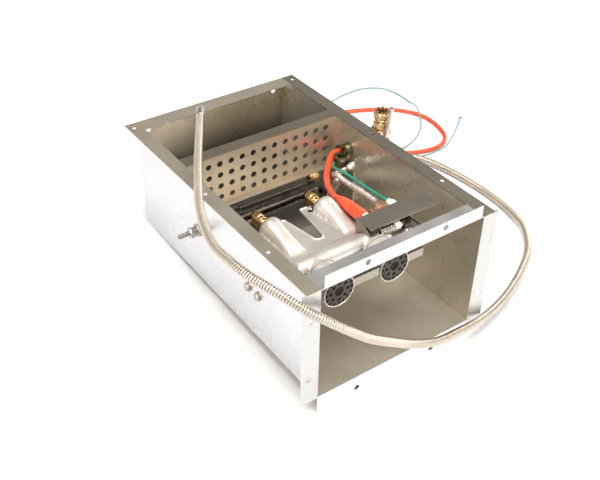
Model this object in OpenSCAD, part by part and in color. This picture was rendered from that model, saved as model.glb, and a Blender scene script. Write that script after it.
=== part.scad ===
/* [Box] */
// Outside width of the box
box_w = 280; // [270:1:300]
// Depth of the box, front opening to back wall
box_d = 498; // [480:1:520]
// Height of the walls
box_h = 193; // [185:1:210]
// Thickness of the sheet metal
sheet = 1.2; // [0.8:0.1:1.5]
// Width of the outward flange on top of each side wall
top_flange = 21; // [15:1:25]
// Width of the inward flange on top of the back wall
back_flange = 28; // [20:1:35]
// Width of the outward flange beside the front opening
front_flange = 27; // [22:1:32]
// Drop of the flange below the front opening
drop_flange = 30; // [20:1:35]
// Height of the crossbar's upstand
crossbar_h = 20; // [16:1:26]
// Depth of the crossbar's level leg
crossbar_leg = 35; // [25:1:38]

/* [Fixing holes] */
// Diameter of the holes in the front flanges
mount_hole = 9; // [6:0.5:10]
// Diameter of the holes in the top flanges
top_hole = 6; // [4:0.5:8]
// Distance from the centreline to the side flange holes
side_hole_x = 155; // [152:0.5:158]
// Distance from the centreline to the crossbar holes
bar_hole_x = 66; // [55:1:80]

/* [Partition] */
// Distance from the front opening to the partition
partition_at = 341; // [330:1:350]
// Pitch of the perforations
perf_pitch = 20; // [18:0.5:21]
// Diameter of the perforations
perf_hole = 10; // [6:0.5:12]
// Columns of perforations
perf_columns = 13; // [9:2:13]
// Rows of perforations
perf_rows = 4; // [2:1:4]

/* [Burners] */
// Distance between the two burner axes
burner_pitch = 92.5; // [90:0.5:96]
// Height of the burner axes
burner_z = 158; // [156:0.5:160]
// Outside diameter of the flame barrels
barrel_d = 49; // [47:0.5:52]
// Holes in the inner ring of a flame disc
inner_ring = 8; // [6:1:9]
// Holes in the outer ring of a flame disc
outer_ring = 16; // [10:1:18]

/* [Hidden] */
$fn = 48;

steel = [0.70, 0.68, 0.64];
dark_steel = [0.33, 0.32, 0.31];
pale_steel = [0.86, 0.83, 0.76];
brass = [0.80, 0.62, 0.28];
orange = [0.91, 0.33, 0.17];
green = [0.15, 0.55, 0.42];
ceramic = [0.93, 0.91, 0.86];
black = [0.12, 0.12, 0.12];
copper = [0.80, 0.50, 0.30];

eps = 0.5;
front_y = -box_d / 2;
back_y = box_d / 2;
wall_x = box_w / 2;
inner_x = wall_x - sheet;
partition_y = front_y + partition_at;
partition_low = 101;
top_row_z = 175.5;

// Two burner axes, left then right, and the middle between them
burner_mid = -49.75;
axis_x = [burner_mid - burner_pitch / 2, burner_mid + burner_pitch / 2];
barrel_r = barrel_d / 2;
barrel_front = front_y + 17;
barrel_back = front_y + 59;
plenum_y = front_y + 77.5;
plenum_r = 17.5;
plenum_half = 81;
neck_r = 17;
mouth_y = front_y + 180.5;
shell = 1;
ear_hole = 8;

// Gas line
manifold_y = front_y + 230;
manifold_r = 12;
manifold_left = -126;
manifold_right = 8;
inlet = [inner_x, 54, 148];
inlet_leg_x = 122;
run_z = 96;
feed_r = 6.35;
feed_bend = 20;
outer_x = 205;

// Bolts in the left and right walls that carry the burner support
bolt_y = [front_y + 144, front_y + 170];
bolt_z = 80;

// Igniter bracket and what it carries
plate_y = front_y + 98;
shelf_y = front_y + 64;
shelf_z = 190;
plate_x0 = -8;
plate_x1 = 114;
device_z = 182;
spark_x = 13;
ferrule_x = 32;
pilot_x = 46;
flame_x = 63;
mixer_y = shelf_y + 2;
mixer_z = 179;

// Inner end of the pilot's wall union
pilot_hole_x0 = 122;
supply_r = 4;

// Places on the side walls, as [y, z]
lead_hole = [76, 134];
wire_hole = [64, 116];
pilot_hole = [34, 127];
port_hole = [51, 103.5];
hose_hole = [150, 40];

// The bench touches the drop flange in front and the floor's back edge
function bench(y) = -drop_flange * (0.5 - y / box_d);
function laid(route) = [for (p = route) [p.x, p.y, bench(p.y) + p.z]];

// Routes of the cords. The hose's points are [x, y, z].
hose_r = 6.5;
hose_route = [
    [166.8, 150, 40], [195, 150, 39], [225, 153, 28], [262, 160, 12], [300, 167, 2], [336, 168, 2],
    [365, 157, 2], [383, 137, 2], [396, 108, 0], [407, 73, -3], [415, 29, -6], [419, -18, -9],
    [415, -68, -10], [396, -122, -7], [353, -173, -5], [300, -208, -3], [248, -233, -3], [199, -250, -2],
    [151, -261, 2], [104, -267, 9], [55, -274, 22], [6, -278, 46], [-41, -282, 78], [-84, -285, 110],
    [-118, -281, 139], [-144, -272, 161], [-165, -258, 177], [-181, -239, 190], [-194, -216, 199],
    [-205, -189, 204], [-211, -156, 206], [-210, -115, 204], [-198, -67, 202], [-177, -16, 200.5],
    [-150, 34, 200.5], [-120, 87, 200.5], [-86, 143, 201], [-49, 204, 201]
];
// The wires lie on the bench. Their points are [x, y, height above the bench].
lead_r = 3.75;
lead_route = [
    [143, 76, 144.4], [170, 77, 143.4], [196, 84, 132], [218, 96, 106], [238, 112, 74], [262, 134, 44],
    [290, 160, 25], [318, 178, 18], [346, 180, 9], [384, 166, 4.5], [413, 156, 4.5], [440, 153, 4.5],
    [466, 160, 4.5], [483, 175, 4.5], [492, 196, 4.5], [497, 225, 4.5], [494, 254, 4.5], [483, 276, 4.5],
    [464, 298, 4.5], [436, 318, 4.5], [402, 335, 4.5], [366, 348, 4.5], [334, 352, 4.5], [306, 346, 4.5]
];
wire_r = 1.5;
wire_route = [
    [143, 64, 127.1], [162, 66, 126], [182, 78, 118], [198, 104, 92], [208, 140, 66], [216, 182, 32],
    [226, 230, 8], [242, 290, 2.5], [268, 346, 2], [312, 382, 2], [366, 399, 2], [422, 409, 2],
    [464, 405, 2], [494, 386, 2], [508, 353, 2], [508, 315, 3], [498, 280, 12], [480, 246, 10],
    [460, 222, 3.5], [432, 203, 2], [402, 191, 2], [382, 186, 4], [368, 180, 11], [366, 171, 12.5],
    [374, 162, 9], [388, 153, 2.5], [406, 147, 2], [429, 145.5, 2], [452, 147.5, 2], [474, 155, 2],
    [496, 167, 2], [516, 180, 2], [536, 194, 2], [551, 205, 2]
];
// Leads held inside the box, as [x, y, z]
inner_lead_r = 5;
inner_lead_route = [
    [135.8, 76, 134], [120, 72, 134], [106, 60, 134], [92, 46, 133], [76, 28, 134], [62, 8, 137],
    [50, -12, 141], [41, -30, 146], [33, -48, 153], [27, -64, 160], [23, -78, 166]
];
inner_wire_route = [
    [135.8, 64, 116], [122, 61, 119], [112, 54, 128], [104, 46, 137], [92, 33, 144], [77, 12, 156],
    [68, -14, 168], [64, -38, 175], [63, -66, 177], [63, -92, 179], [flame_x, -116, 181], [flame_x, plate_y + 16, device_z]
];
pilot_tube_r = 4.5;
pilot_tube_route = [
    [122, 34, 127], [108, 33, 127], [92, 28, 131], [76, 8, 145], [64, -16, 161], [54, -42, 170],
    [52, -66, 174], [51, -90, 177], [48, -114, 181], [pilot_x, plate_y + 17, device_z]
];

// A smooth closed tube along a route: one ring of points at each of its stations
function along(p, i, t) =
    let (a = p[max(i - 1, 0)], b = p[i], c = p[min(i + 1, len(p) - 1)], d = p[min(i + 2, len(p) - 1)])
    0.5 * (2 * b + (c - a) * t + (2 * a - 5 * b + 4 * c - d) * t * t + (3 * b - a - 3 * c + d) * t * t * t);
function stations(p, per) =
    concat([for (i = [0:len(p) - 2], k = [0:per - 1]) along(p, i, k / per)], [p[len(p) - 1]]);
function unit(v) = v / norm(v);
function heading(s, i) = unit(s[min(i + 1, len(s) - 1)] - s[max(i - 1, 0)]);
function ring(centre, way, r, sides) =
    let (side = unit(cross(way, [0, 0, 1])), lift = cross(side, way))
    [for (k = [0:sides - 1]) centre + r * (cos(360 * k / sides) * side + sin(360 * k / sides) * lift)];

module swept(route, r, sides = 8, per = 1) {
    s = stations(route, per);
    n = len(s);
    points = [for (i = [0:n - 1]) each ring(s[i], heading(s, i), r, sides)];
    walls = [for (i = [0:n - 2], k = [0:sides - 1])
        let (a = i * sides + k, b = i * sides + (k + 1) % sides) [a, a + sides, b + sides, b]];
    ends = [[for (k = [0:sides - 1]) k], [for (k = [sides - 1:-1:0]) (n - 1) * sides + k]];
    polyhedron(points, concat(walls, ends));
}

// Cylinders and prisms along the three axes, from a start point
module rod_x(p, l, r) translate(p) rotate([0, 90, 0]) cylinder(h = l, r = r);
module rod_y(p, l, r) translate(p) rotate([-90, 0, 0]) cylinder(h = l, r = r);
module rod_z(p, l, r) translate(p) cylinder(h = l, r = r);
module hex_x(p, l, across) translate(p) rotate([0, 90, 0]) cylinder(h = l, d = across / cos(30), $fn = 6);
module hex_y(p, l, across) translate(p) rotate([-90, 0, 0]) cylinder(h = l, d = across / cos(30), $fn = 6);
module hex_z(p, l, across) translate(p) cylinder(h = l, d = across / cos(30), $fn = 6);
module block(low, high) translate(low) cube(high - low);

// A body of revolution about a line along Y. The profile's points are [radius, y].
module turned_y(x, z, profile) translate([x, 0, z]) rotate([90, 0, 0]) rotate_extrude() polygon(
    [for (p = profile) [p.x, -p.y]]);

// ---- Sheet metal ----

module side_panel() {
    difference() {
        union() {
            block([inner_x, front_y, 0], [wall_x, back_y, box_h]);
            block([wall_x - eps, front_y, box_h - sheet], [wall_x + top_flange, back_y, box_h]);
            block([wall_x - eps, front_y, 0], [wall_x + front_flange, front_y + sheet, box_h]);
        }
        for (y = [99.5, 260.5, 482.5])
            rod_z([wall_x + 11.5, front_y + y, box_h - 5], 10, top_hole / 2);
        for (z = [44, 147])
            rod_y([side_hole_x, front_y - 5, z], 10, mount_hole / 2);
        for (y = bolt_y)
            rod_x([inner_x - 5, y, bolt_z], 10, 3.2);
    }
}

module left_side_panel() {
    color(steel) difference() {
        mirror([1, 0, 0]) side_panel();
        rod_x([-wall_x - 5, port_hole[0], port_hole[1]], 10, 5.2);
    }
}

module right_side_panel() {
    color(steel) difference() {
        side_panel();
        rod_x([inner_x - 5, inlet.y, inlet.z], 10, 10.7);
        rod_x([inner_x - 5, lead_hole[0], lead_hole[1]], 10, 7);
        rod_x([inner_x - 5, wire_hole[0], wire_hole[1]], 10, 4);
        rod_x([inner_x - 5, pilot_hole[0], pilot_hole[1]], 10, 5);
        rod_x([inner_x - 5, hose_hole[0], hose_hole[1]], 10, 8);
    }
}

module floor_panel() {
    color(steel) difference() {
        union() {
            block([-inner_x, front_y, 0], [inner_x, back_y, sheet]);
            block([-inner_x, front_y, -drop_flange], [inner_x, front_y + sheet, sheet]);
        }
        for (x = [-1, 1])
            rod_y([x * 69.5, front_y - 5, -drop_flange + 10], 10, mount_hole / 2);
    }
}

module back_panel() {
    color(steel) difference() {
        union() {
            block([-inner_x, back_y - sheet, sheet], [inner_x, back_y, box_h]);
            block([-inner_x, back_y - back_flange, box_h - sheet], [inner_x, back_y, box_h]);
        }
        for (x = [-1, 1])
            rod_y([x * 121, back_y - 5, 173], 10, 4);
    }
}

module front_crossbar() {
    bar_end = 4.5;
    color(pale_steel) difference() {
        union() {
            block([bar_end - inner_x, front_y, box_h - sheet], [inner_x - bar_end, front_y + sheet, box_h + crossbar_h]);
            block([-inner_x, front_y, box_h - sheet], [inner_x, front_y + crossbar_leg, box_h]);
        }
        for (x = [-1, 1])
            rod_y([x * bar_hole_x, front_y - 5, box_h + 11], 10, mount_hole / 2);
    }
}

module perforated_partition() {
    color(steel) difference() {
        union() {
            block([-inner_x, partition_y, partition_low], [inner_x, partition_y + sheet, box_h]);
            block([-inner_x, partition_y, box_h - sheet], [inner_x, partition_y + 21, box_h]);
            block([-inner_x, partition_y - 8, partition_low], [inner_x, partition_y + sheet, partition_low + sheet]);
            for (x = [-inner_x, inner_x - sheet])
                block([x, partition_y, partition_low], [x + sheet, partition_y + 16, box_h]);
        }
        for (i = [0:perf_columns - 1], j = [0:perf_rows - 1])
            rod_y([(i - (perf_columns - 1) / 2) * perf_pitch, partition_y - 2, top_row_z - j * perf_pitch], 5,
                perf_hole / 2, $fn = 24);
    }
}

// Rivets through the partition's side tabs
module partition_rivets() {
    color(steel) for (s = [-1, 1], z = [122, 172])
        translate([s * (inner_x - sheet), partition_y + 9, z]) rotate([0, -s * 90, 0]) cylinder(h = 1.6, r1 = 3.2, r2 = 2);
}

// ---- Gas line ----

module gas_manifold() {
    color(dark_steel) difference() {
        rod_x([manifold_left, manifold_y, burner_z], manifold_right - manifold_left, manifold_r);
        rod_x([manifold_left - 1, manifold_y, burner_z], manifold_right - manifold_left + 2, manifold_r - 2.6);
        for (x = axis_x)
            rod_y([x, manifold_y - manifold_r - 3, burner_z], manifold_r, 4.2);
    }
}

module manifold_end_cap() {
    color(dark_steel) difference() {
        union() {
            rod_x([manifold_left - 4, manifold_y, burner_z], 16, manifold_r + 3);
            hex_x([manifold_left - 9, manifold_y, burner_z], 6, 16);
        }
        rod_x([manifold_left, manifold_y, burner_z], 20, manifold_r);
    }
}

// Half-round cradle under the pipe, on a foot that hangs from the left wall
module manifold_cradle() {
    cradle_x = -112;
    wide = 12;
    color(steel) difference() {
        union() {
            rod_x([cradle_x, manifold_y, burner_z], wide, manifold_r + 1.6);
            block([cradle_x, manifold_y - 2, burner_z - 48], [cradle_x + wide, manifold_y, burner_z - manifold_r]);
            block([-inner_x, manifold_y - 2, burner_z - 48], [cradle_x + wide, manifold_y + 20, burner_z - 46]);
            block([-inner_x, manifold_y - 2, burner_z - 66], [-inner_x + 2, manifold_y + 20, burner_z - 46]);
        }
        rod_x([cradle_x - 1, manifold_y, burner_z], wide + 2, manifold_r);
        block([cradle_x - 1, manifold_y - 20, burner_z - 3], [cradle_x + wide + 1, manifold_y + 20, burner_z + 20]);
    }
}

// Screw heads that hold the cradle's foot and the igniter bracket's foot
module sheet_screws() {
    color(steel) {
        for (y = [3, 14])
            rod_x([-inner_x + 2, manifold_y + y, burner_z - 57], 2.2, 3.2);
        for (x = [9, 24])
            rod_z([x, plate_y + 8, burner_z + shell + sheet], 2.2, 3.2);
    }
}

// Brass spud, screwed into the manifold and aimed into a burner's mouth
module orifice(x) {
    root = manifold_y - manifold_r;
    color(brass) difference() {
        union() {
            rod_y([x, root - 2, burner_z], 6, 4.1);
            hex_y([x, root - 20, burner_z], 18.5, 17);
            rod_y([x, root - 27, burner_z], 8, 6.5);
            rod_y([x, root - 33, burner_z], 7, 4.2);
        }
        rod_y([x, root - 34, burner_z], 40, 1.4);
    }
}

module gas_orifices() for (x = axis_x) orifice(x);

// Cast elbow: a quarter torus with a bead on each mouth. It turns from +X to +Z about its own corner.
module elbow(leg, r, bore) {
    bead = r + 2.5;
    difference() {
        union() {
            translate([0, 0, leg]) rotate([90, 0, 0]) rotate_extrude(angle = -90) translate([leg, 0]) circle(r);
            rod_x([leg - 1, 0, 0], 8, bead);
            rod_z([0, 0, leg - 1], 8, bead);
        }
        translate([0, 0, leg]) rotate([90, 0, 0]) rotate_extrude(angle = -90) translate([leg, 0]) circle(bore);
        rod_x([leg - 2, 0, 0], 12, bore);
        rod_z([0, 0, leg - 2], 12, bore);
    }
}

module manifold_elbow() {
    color(dark_steel) translate([manifold_right + 17, manifold_y, burner_z]) mirror([1, 0, 0]) mirror([0, 0, 1])
        elbow(10, 11, 7);
}

// Plane of the feed tube: it drops from the manifold, runs under the leads and rises to the wall
feed_from = [manifold_right + 17, manifold_y];
feed_to = [inlet_leg_x, inlet.y];
feed_span = norm(feed_to - feed_from);
feed_turn = atan2(feed_to.y - feed_from.y, feed_to.x - feed_from.x);
feed_top_a = burner_z - 27;
feed_top_b = inlet.z - 26;

module feed_section(r) {
    rod_z([0, 0, run_z + feed_bend], feed_top_a - run_z - feed_bend, r);
    rod_z([feed_span, 0, run_z + feed_bend], feed_top_b - run_z - feed_bend, r);
    rod_x([feed_bend, 0, run_z], feed_span - 2 * feed_bend, r);
    translate([feed_bend, 0, run_z + feed_bend]) rotate([90, 0, 0]) rotate_extrude(angle = 90)
        translate([-feed_bend, 0]) circle(r);
    translate([feed_span - feed_bend, 0, run_z + feed_bend]) rotate([90, 0, 0]) rotate_extrude(angle = -90)
        translate([feed_bend, 0]) circle(r);
}

module feed_tube() {
    color(pale_steel) translate([feed_from.x, feed_from.y, 0]) rotate([0, 0, feed_turn])
        feed_section(feed_r);
}

module feed_tube_nuts() {
    color(brass) difference() {
        union() {
            hex_z([feed_from.x, feed_from.y, feed_top_a - 6], 16, 17);
            hex_z([feed_to.x, feed_to.y, feed_top_b - 6], 17, 17);
        }
        rod_z([feed_from.x, feed_from.y, feed_top_a - 8], 20, feed_r + 0.1);
        rod_z([feed_to.x, feed_to.y, feed_top_b - 8], 20, feed_r + 0.1);
    }
}

module inlet_elbow() {
    color(pale_steel) translate([inlet_leg_x, inlet.y, inlet.z]) mirror([0, 0, 1]) elbow(8, 8.5, 5);
}

module inlet_nipple() {
    color(dark_steel) difference() {
        rod_x([inlet_leg_x + 15.2, inlet.y, inlet.z], outer_x - inlet_leg_x - 32.4, 10.5);
        rod_x([inlet_leg_x + 14, inlet.y, inlet.z], outer_x - inlet_leg_x, 7.5);
    }
}

module inlet_locknut() {
    color(steel) difference() {
        hex_x([wall_x, inlet.y, inlet.z], 6, 28);
        rod_x([wall_x - 1, inlet.y, inlet.z], 8, 10.6);
    }
}

module outer_elbow() {
    color(dark_steel) translate([outer_x, inlet.y, inlet.z]) mirror([1, 0, 0]) elbow(10, 13.5, 8);
}

module brass_union_body() {
    color(brass) difference() {
        union() {
            rod_z([outer_x, inlet.y, inlet.z + 17.2], 5, 10.5);
            hex_z([outer_x, inlet.y, inlet.z + 20], 12, 23);
            rod_z([outer_x, inlet.y, inlet.z + 30], 12, 9.5);
        }
        rod_z([outer_x, inlet.y, inlet.z], 60, 6.5);
    }
}

module brass_union_nut() {
    base = inlet.z + 32.2;
    color(brass) difference() {
        union() {
            rod_z([outer_x, inlet.y, base], 6, 12);
            hex_z([outer_x, inlet.y, base + 4], 16, 24);
        }
        rod_z([outer_x, inlet.y, base - 1], 11, 9.6);
        rod_z([outer_x, inlet.y, base + 8], 20, 8);
    }
}

// ---- Burners ----

// Outer profile of the air and gas mixing tube above the seam, from the mouth forwards
mouth_at = mouth_y - front_y;
upper_profile = [
    [18.5, mouth_at], [19.2, 177], [18.5, 170], [16.5, 160], [14.5, 150], [12, 138], [8, 126], [4, 117], [1.5, 110]
];
lower_profile = [[18.5, mouth_at], [19.2, 177], [18.5, 170], [18, 160], [18, 88]];
function closed_profile(p, less) = concat(
    [[0, front_y + p[0].y + (less > 0 ? 1 : 0)]],
    [for (q = p) [max(q.x - less, 0.4), front_y + q.y + (q.y == mouth_at && less > 0 ? 1 : 0)]],
    [[0, front_y + p[len(p) - 1].y]]);

module mixing_tubes(profile, less) {
    for (x = axis_x)
        turned_y(x, burner_z, closed_profile(profile, less));
}

module plenum(less) {
    rod_x([burner_mid - plenum_half + less, plenum_y, burner_z], 2 * (plenum_half - less), plenum_r - less);
    for (x = axis_x)
        rod_y([x, barrel_back - (less > 0 ? 1 : 0), burner_z], 14, neck_r - less);
}

// The flat skirt that both shells share, with its ears beside the mouths
module skirt_outline() {
    left = burner_mid - plenum_half - 4;
    right = burner_mid + plenum_half + 4;
    lobe = 31.5;
    polygon([for (p = [
        [left, 62], [right, 62], [right, 128], [axis_x[1] + lobe, 176], [axis_x[1] + 12, 178],
        [axis_x[1] - 12, 178], [axis_x[1] - 12, 194], [axis_x[1] - lobe - 1, 194], [burner_mid + 6, 126],
        [burner_mid + 3, 122], [burner_mid - 4, 122], [burner_mid - 8, 126], [axis_x[0] + 28, 184],
        [axis_x[0] + 12, 186], [axis_x[0] + 12, 178], [axis_x[0] - 12, 178], [axis_x[0] - lobe, 176], [left, 128]
    ]) [p.x, front_y + p.y]]);
}

module burner_half(profile, sign) {
    lift = sign > 0 ? 0 : -shell;
    intersection() {
        difference() {
            union() {
                mixing_tubes(profile, 0);
                plenum(0);
                translate([0, 0, burner_z + lift]) linear_extrude(shell) skirt_outline();
            }
            mixing_tubes(profile, shell);
            plenum(shell);
            rod_z([axis_x[1] - 20.5, front_y + 184, burner_z - 5], 10, ear_hole / 2);
        }
        translate([-300, -300, sign > 0 ? burner_z : burner_z - 100]) cube([600, 600, 100]);
    }
}

module burner_upper_shell() color(pale_steel) burner_half(upper_profile, 1);
module burner_lower_shell() color(pale_steel) burner_half(lower_profile, -1);

// Barrel that carries a flame disc: a thin drum with an open back collar and a rolled bead
module flame_barrel(x) {
    color(pale_steel) difference() {
        union() {
            rod_y([x, barrel_front, burner_z], barrel_back - barrel_front, barrel_r);
            rod_y([x, barrel_back - 3, burner_z], 3, barrel_r + 1);
        }
        rod_y([x, barrel_front - 1, burner_z], barrel_back - barrel_front - 0.2, barrel_r - shell);
        rod_y([x, barrel_front - 1, burner_z], 60, neck_r - 1);
    }
}

module left_flame_barrel() flame_barrel(axis_x[0]);
module right_flame_barrel() flame_barrel(axis_x[1]);

module flame_disc(x) {
    color(steel) difference() {
        rod_y([x, barrel_front + 0.8, burner_z], 1.6, barrel_r - shell);
        rod_y([x, barrel_front - 1, burner_z], 6, 7);
        for (k = [0:inner_ring - 1])
            rod_y([x + 13.6 * cos(360 * k / inner_ring), barrel_front - 1, burner_z + 13.6 * sin(360 * k / inner_ring)],
                6, 2.8, $fn = 16);
        for (k = [0:outer_ring - 1])
            rod_y([x + 20.5 * cos(360 * k / outer_ring), barrel_front - 1, burner_z + 20.5 * sin(360 * k / outer_ring)],
                6, 2.2, $fn = 16);
    }
}

module left_flame_disc() flame_disc(axis_x[0]);
module right_flame_disc() flame_disc(axis_x[1]);

// Square channel with ports on top, which carries the flame from barrel to barrel
module channel(x0, x1) {
    low = burner_z - 5;
    high = burner_z + 8;
    color(pale_steel) difference() {
        block([x0, barrel_front + 2, low], [x1, barrel_front + 18, high]);
        block([x0 - 1, barrel_front + 3, low + 1], [x1 + 1, barrel_front + 17, high - 1]);
        for (x = [x0 + 6:7:x1 - 4])
            block([x, barrel_front + 5, high - 3], [x + 3, barrel_front + 15, high + 1]);
    }
}

module carryover_channels() {
    channel(axis_x[0] + barrel_r, axis_x[1] - barrel_r);
    channel(axis_x[1] + barrel_r, axis_x[1] + barrel_r + 27);
}

// Cross plate with a saddle under each mixing tube, and a foot on each wall
module burner_support() {
    y = front_y + 157;
    color(steel) difference() {
        union() {
            block([-inner_x, y - sheet / 2, 66], [inner_x, y + sheet / 2, burner_z - shell]);
            for (s = [-1, 1])
                block([s > 0 ? inner_x - 1.5 : -inner_x, y - 22, 66], [s > 0 ? inner_x : 1.5 - inner_x, y + 22, 94]);
        }
        for (x = axis_x)
            rod_y([x, y - 5, burner_z], 10, 18.6);
        block([burner_mid + plenum_half + 5, y - 5, 94], [inner_x + 1, y + 5, burner_z + 1]);
        for (x = [-1, 1], q = bolt_y)
            rod_x([x * (inner_x - 4) - 4, q, bolt_z], 8, 3.2);
    }
}

module support_bolts() {
    color(steel) for (s = [-1, 1], y = bolt_y) mirror([s < 0 ? 1 : 0, 0, 0]) {
        hex_x([wall_x, y, bolt_z], 5, 11);
        rod_x([inner_x - 12, y, bolt_z], 14, 3);
    }
}

module support_nuts() {
    color(steel) for (s = [-1, 1], y = bolt_y) mirror([s < 0 ? 1 : 0, 0, 0]) difference() {
        hex_x([inner_x - 7, y, bolt_z], 5.5, 10);
        rod_x([inner_x - 8, y, bolt_z], 8, 3.05);
    }
}

// ---- Igniter and pilot ----

// Web at the bracket's left end, clear of the burners' crown. Points are [y from the plate, z].
gusset = [
    [0, 190], [0, 160], [-3, 160], [-4, 166], [-8, 172], [-13, 175.5], [-20, 176.5], [-27, 175.5], [-31, 174],
    [-30, 178], [-26, 182.5], [-19, 186.5], [-10, 189.2]
];

module igniter_bracket() {
    color(steel) difference() {
        union() {
            block([plate_x0, plate_y - sheet, burner_z + shell], [plate_x1, plate_y, shelf_z]);
            block([plate_x0, shelf_y, shelf_z - sheet], [plate_x1, plate_y, shelf_z]);
            block([3, plate_y - sheet, burner_z + shell], [30, plate_y + 14, burner_z + shell + sheet]);
            translate([plate_x0, plate_y, 0]) rotate([90, 0, 90]) linear_extrude(sheet) polygon(gusset);
        }
        for (x = [spark_x, pilot_x, flame_x])
            rod_y([x, plate_y - 4, device_z], 8, 4);
    }
}

module spark_insulator() {
    color(ceramic) difference() {
        union() {
            rod_y([spark_x, plate_y - 18, device_z], 36, 3.9);
            rod_y([spark_x, plate_y, device_z], 6, 6);
        }
        rod_y([spark_x, plate_y - 20, device_z], 50, 1.05);
    }
}

// Wire electrode, bent sideways towards the pilot's hood
module spark_rod() {
    tip = plate_y - 22;
    color(steel) {
        rod_y([spark_x, tip, device_z], 40, 1);
        rod_x([spark_x, tip, device_z], 22, 1);
    }
}

// Copper ferrule in the plate, between the two electrodes
module copper_ferrule() {
    color(copper) {
        rod_y([ferrule_x, plate_y, device_z - 3], 4, 6);
        hex_y([ferrule_x, plate_y + 4, device_z - 3], 7, 10);
        rod_y([ferrule_x, plate_y + 11, device_z - 3], 5, 3.6);
    }
}

module spark_boot() {
    color(orange) difference() {
        hull() {
            rod_y([spark_x, plate_y + 6.5, device_z - 3], 6, 9, $fn = 32);
            translate([23, -87, 167]) sphere(9, $fn = 24);
        }
        rod_y([spark_x, plate_y + 5, device_z], 13.2, 4);
        rod_y([spark_x, plate_y + 5, device_z], 15, 1.2);
    }
}

module inner_spark_lead() color(orange) swept(inner_lead_route, inner_lead_r, 10, 1);

module flame_rod_insulator() {
    color(ceramic) difference() {
        union() {
            rod_y([flame_x, plate_y - 20, device_z], 34, 3.9);
            rod_y([flame_x, plate_y, device_z], 10, 7);
            rod_y([flame_x, plate_y + 10, device_z], 6, 5);
        }
        rod_y([flame_x, plate_y - 22, device_z], 60, 1.1);
    }
}

module flame_rod() color(dark_steel) rod_y([flame_x, plate_y - 62, device_z], 76, 1);

module inner_green_wire() color(green) swept(inner_wire_route, 2, 8, 1);

module pilot_tube() color(pale_steel) swept(pilot_tube_route, pilot_tube_r, 10, 2);

module pilot_tube_nut() {
    color(copper) difference() {
        union() {
            rod_y([pilot_x, plate_y, device_z], 8, 6.5);
            hex_y([pilot_x, plate_y + 6, device_z], 11, 13);
        }
        rod_y([pilot_x, plate_y - 1, device_z], 30, 2.5);
    }
}

module pilot_wall_union() {
    color(ceramic) difference() {
        union() {
            rod_x([pilot_hole_x0, pilot_hole[0], pilot_hole[1]], 36, 4.8);
            hex_x([inner_x - 9, pilot_hole[0], pilot_hole[1]], 9, 13);
            hex_x([wall_x, pilot_hole[0], pilot_hole[1]], 5, 13);
        }
        rod_x([pilot_hole_x0 - 1, pilot_hole[0], pilot_hole[1]], 60, 2.2);
    }
}

// Ribbed air mixer under the shelf, lying along X, with its stem from the plate
module pilot_mixer() {
    color(steel) difference() {
        union() {
            rod_x([8, mixer_y, mixer_z], 40, 4.6);
            for (k = [0:4])
                rod_x([8 + 4.6 * k, mixer_y, mixer_z], 2.2, 6.3);
            rod_y([pilot_x, mixer_y, device_z - 1.5], plate_y - sheet - mixer_y, 3);
        }
        rod_x([7, mixer_y, mixer_z], 50, 3);
    }
}

// Ceramic collar on the mixer
module pilot_collar() {
    color(ceramic) difference() {
        rod_x([33, mixer_y, mixer_z], 9, 6.3);
        rod_x([30, mixer_y, mixer_z], 20, 4.7);
    }
}

// Open hood over the pilot's outlet
module pilot_hood() {
    color(dark_steel) difference() {
        rod_x([48, mixer_y, mixer_z - 1], 11, 8);
        rod_x([49.2, mixer_y, mixer_z - 1], 30, 6.9);
        block([52, mixer_y - 20, mixer_z - 20], [80, mixer_y + 20, mixer_z - 2]);
    }
}

// Gas for the pilot: out of the wall union and up beside the brass union
module pilot_supply_tube() {
    bend = 14;
    lean = 9;
    x = pilot_hole_x0 + 36;
    run = 24.6;
    y = pilot_hole[0];
    z = pilot_hole[1];
    color(pale_steel) difference() {
        union() {
            rod_x([x, y, z], run, supply_r);
            translate([x + run, y, z + bend]) rotate([90, 0, 0]) rotate([0, 0, -lean])
                rotate_extrude(angle = lean - 90) translate([bend, 0]) circle(supply_r);
            translate([x + run, y, z + bend]) rotate([0, lean, 0]) {
                rod_z([bend, 0, 0], 73, supply_r);
                hex_z([bend, 0, 8], 12, 13);
            }
        }
        translate([x + run, y, z + bend]) rotate([0, lean, 0]) rod_z([bend, 0, 40], 60, supply_r - 1);
    }
}

module wall_angle() {
    y = front_y + 272;
    color(steel) {
        block([inner_x - 11, y, 66], [inner_x, y + sheet, 148]);
        block([inner_x - sheet, y - 14, 66], [inner_x, y + sheet, 148]);
    }
}

// Rubber bush with a lip on each side of the right wall
module grommet(hole, r, lip, bore) {
    difference() {
        union() {
            rod_x([inner_x - 3, hole[0], hole[1]], sheet + 6, r);
            rod_x([inner_x - 3, hole[0], hole[1]], 3, lip);
            rod_x([wall_x, hole[0], hole[1]], 3, lip);
        }
        rod_x([inner_x - 9, hole[0], hole[1]], 30, bore);
    }
}

module lead_grommet() color(black) grommet(lead_hole, 6.9, 9.5, 2.5);
module wire_grommet() color(black) grommet(wire_hole, 3.9, 6, 1.2);

// Pressure test port in the left wall: tube, and its bulkhead nuts and washer
module test_port_tube() {
    color(steel) difference() {
        rod_x([-wall_x - 40, port_hole[0], port_hole[1]], 60, 3.5);
        rod_x([-wall_x - 41, port_hole[0], port_hole[1]], 62, 2.5);
    }
}

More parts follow.
